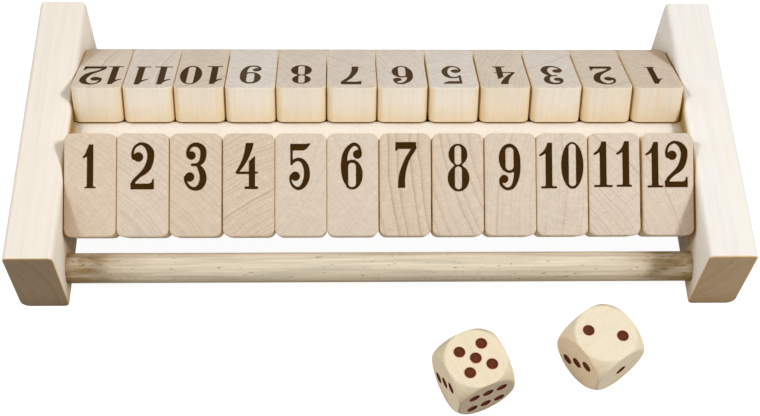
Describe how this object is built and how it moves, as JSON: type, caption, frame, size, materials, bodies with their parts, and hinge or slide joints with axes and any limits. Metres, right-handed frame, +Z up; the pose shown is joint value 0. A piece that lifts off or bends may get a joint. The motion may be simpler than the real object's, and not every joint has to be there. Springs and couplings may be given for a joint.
{
  "type": "shut the box game",
  "caption": "Open wooden shut the box rack for two players: facing rows of numbered flip tiles on hidden axles between two side rails, with dice.",
  "frame": {"origin": "on the table, at the middle of the rectangle that the whole set covers, dice included", "axes": "+X along the rows of tiles, from the front row's 1 to its 12; +Y from the front to the back, away from the dice; +Z up"},
  "size_m": [0.3, 0.1846, 0.0483],
  "materials": {
    "rail_wood": "sanded, unvarnished pale maple",
    "dowel_wood": "sanded, unvarnished beech dowel",
    "tile_wood": "sanded maple, end grain on the numbered face, burnt numbers",
    "die_wood": "tumbled lime wood, brown painted pips"
  },
  "bodies": {
    "rack": {"side_rail_left": "rail_wood", "side_rail_right": "rail_wood", "centre_rail": "rail_wood", "rail_pin_left_upper": "dowel_wood", "rail_pin_left_lower": "dowel_wood", "rail_pin_right_upper": "dowel_wood", "rail_pin_right_lower": "dowel_wood", "rest_dowel_front": "dowel_wood", "rest_dowel_back": "dowel_wood", "axle_dowel_front": "dowel_wood", "axle_dowel_back": "dowel_wood"},
    "front_tile_01": {"front_tile_01": "tile_wood"},
    "front_tile_02": {"front_tile_02": "tile_wood"},
    "front_tile_03": {"front_tile_03": "tile_wood"},
    "front_tile_04": {"front_tile_04": "tile_wood"},
    "front_tile_05": {"front_tile_05": "tile_wood"},
    "front_tile_06": {"front_tile_06": "tile_wood"},
    "front_tile_07": {"front_tile_07": "tile_wood"},
    "front_tile_08": {"front_tile_08": "tile_wood"},
    "front_tile_09": {"front_tile_09": "tile_wood"},
    "front_tile_10": {"front_tile_10": "tile_wood"},
    "front_tile_11": {"front_tile_11": "tile_wood"},
    "front_tile_12": {"front_tile_12": "tile_wood"},
    "back_tile_01": {"back_tile_01": "tile_wood"},
    "back_tile_02": {"back_tile_02": "tile_wood"},
    "back_tile_03": {"back_tile_03": "tile_wood"},
    "back_tile_04": {"back_tile_04": "tile_wood"},
    "back_tile_05": {"back_tile_05": "tile_wood"},
    "back_tile_06": {"back_tile_06": "tile_wood"},
    "back_tile_07": {"back_tile_07": "tile_wood"},
    "back_tile_08": {"back_tile_08": "tile_wood"},
    "back_tile_09": {"back_tile_09": "tile_wood"},
    "back_tile_10": {"back_tile_10": "tile_wood"},
    "back_tile_11": {"back_tile_11": "tile_wood"},
    "back_tile_12": {"back_tile_12": "tile_wood"},
    "die_left": {"die_left": "die_wood"},
    "die_right": {"die_right": "die_wood"}
  },
  "joints": [
    {"name": "front_tile_01_flip", "type": "hinge", "parent": "rack", "child": "front_tile_01", "pos_m": [-0.1188, -0.00905, 0.0262], "axis": [1, 0, 0], "range_deg": [0, 152.5]},
    {"name": "front_tile_02_flip", "type": "hinge", "parent": "rack", "child": "front_tile_02", "pos_m": [-0.0972, -0.00905, 0.0262], "axis": [1, 0, 0], "range_deg": [0, 152.5]},
    {"name": "front_tile_03_flip", "type": "hinge", "parent": "rack", "child": "front_tile_03", "pos_m": [-0.0756, -0.00905, 0.0262], "axis": [1, 0, 0], "range_deg": [0, 152.5]},
    {"name": "front_tile_04_flip", "type": "hinge", "parent": "rack", "child": "front_tile_04", "pos_m": [-0.054, -0.00905, 0.0262], "axis": [1, 0, 0], "range_deg": [0, 152.5]},
    {"name": "front_tile_05_flip", "type": "hinge", "parent": "rack", "child": "front_tile_05", "pos_m": [-0.0324, -0.00905, 0.0262], "axis": [1, 0, 0], "range_deg": [0, 152.5]},
    {"name": "front_tile_06_flip", "type": "hinge", "parent": "rack", "child": "front_tile_06", "pos_m": [-0.0108, -0.00905, 0.0262], "axis": [1, 0, 0], "range_deg": [0, 152.5]},
    {"name": "front_tile_07_flip", "type": "hinge", "parent": "rack", "child": "front_tile_07", "pos_m": [0.0108, -0.00905, 0.0262], "axis": [1, 0, 0], "range_deg": [0, 152.5]},
    {"name": "front_tile_08_flip", "type": "hinge", "parent": "rack", "child": "front_tile_08", "pos_m": [0.0324, -0.00905, 0.0262], "axis": [1, 0, 0], "range_deg": [0, 152.5]},
    {"name": "front_tile_09_flip", "type": "hinge", "parent": "rack", "child": "front_tile_09", "pos_m": [0.054, -0.00905, 0.0262], "axis": [1, 0, 0], "range_deg": [0, 152.5]},
    {"name": "front_tile_10_flip", "type": "hinge", "parent": "rack", "child": "front_tile_10", "pos_m": [0.0756, -0.00905, 0.0262], "axis": [1, 0, 0], "range_deg": [0, 152.5]},
    {"name": "front_tile_11_flip", "type": "hinge", "parent": "rack", "child": "front_tile_11", "pos_m": [0.0972, -0.00905, 0.0262], "axis": [1, 0, 0], "range_deg": [0, 152.5]},
    {"name": "front_tile_12_flip", "type": "hinge", "parent": "rack", "child": "front_tile_12", "pos_m": [0.1188, -0.00905, 0.0262], "axis": [1, 0, 0], "range_deg": [0, 152.5]},
    {"name": "back_tile_01_flip", "type": "hinge", "parent": "rack", "child": "back_tile_01", "pos_m": [0.1188, 0.0617, 0.0262], "axis": [-1, 0, 0], "range_deg": [0, 152.5]},
    {"name": "back_tile_02_flip", "type": "hinge", "parent": "rack", "child": "back_tile_02", "pos_m": [0.0972, 0.0617, 0.0262], "axis": [-1, 0, 0], "range_deg": [0, 152.5]},
    {"name": "back_tile_03_flip", "type": "hinge", "parent": "rack", "child": "back_tile_03", "pos_m": [0.0756, 0.0617, 0.0262], "axis": [-1, 0, 0], "range_deg": [0, 152.5]},
    {"name": "back_tile_04_flip", "type": "hinge", "parent": "rack", "child": "back_tile_04", "pos_m": [0.054, 0.0617, 0.0262], "axis": [-1, 0, 0], "range_deg": [0, 152.5]},
    {"name": "back_tile_05_flip", "type": "hinge", "parent": "rack", "child": "back_tile_05", "pos_m": [0.0324, 0.0617, 0.0262], "axis": [-1, 0, 0], "range_deg": [0, 152.5]},
    {"name": "back_tile_06_flip", "type": "hinge", "parent": "rack", "child": "back_tile_06", "pos_m": [0.0108, 0.0617, 0.0262], "axis": [-1, 0, 0], "range_deg": [0, 152.5]},
    {"name": "back_tile_07_flip", "type": "hinge", "parent": "rack", "child": "back_tile_07", "pos_m": [-0.0108, 0.0617, 0.0262], "axis": [-1, 0, 0], "range_deg": [0, 152.5]},
    {"name": "back_tile_08_flip", "type": "hinge", "parent": "rack", "child": "back_tile_08", "pos_m": [-0.0324, 0.0617, 0.0262], "axis": [-1, 0, 0], "range_deg": [0, 152.5]},
    {"name": "back_tile_09_flip", "type": "hinge", "parent": "rack", "child": "back_tile_09", "pos_m": [-0.054, 0.0617, 0.0262], "axis": [-1, 0, 0], "range_deg": [0, 152.5]},
    {"name": "back_tile_10_flip", "type": "hinge", "parent": "rack", "child": "back_tile_10", "pos_m": [-0.0756, 0.0617, 0.0262], "axis": [-1, 0, 0], "range_deg": [0, 152.5]},
    {"name": "back_tile_11_flip", "type": "hinge", "parent": "rack", "child": "back_tile_11", "pos_m": [-0.0972, 0.0617, 0.0262], "axis": [-1, 0, 0], "range_deg": [0, 152.5]},
    {"name": "back_tile_12_flip", "type": "hinge", "parent": "rack", "child": "back_tile_12", "pos_m": [-0.1188, 0.0617, 0.0262], "axis": [-1, 0, 0], "range_deg": [0, 152.5]},
    {"name": "die_left_lift", "type": "slide", "parent": "rack", "child": "die_left", "axis": [0, 0, 1], "range_m": [0, 0.1]},
    {"name": "die_right_lift", "type": "slide", "parent": "rack", "child": "die_right", "axis": [0, 0, 1], "range_m": [0, 0.1]}
  ]
}
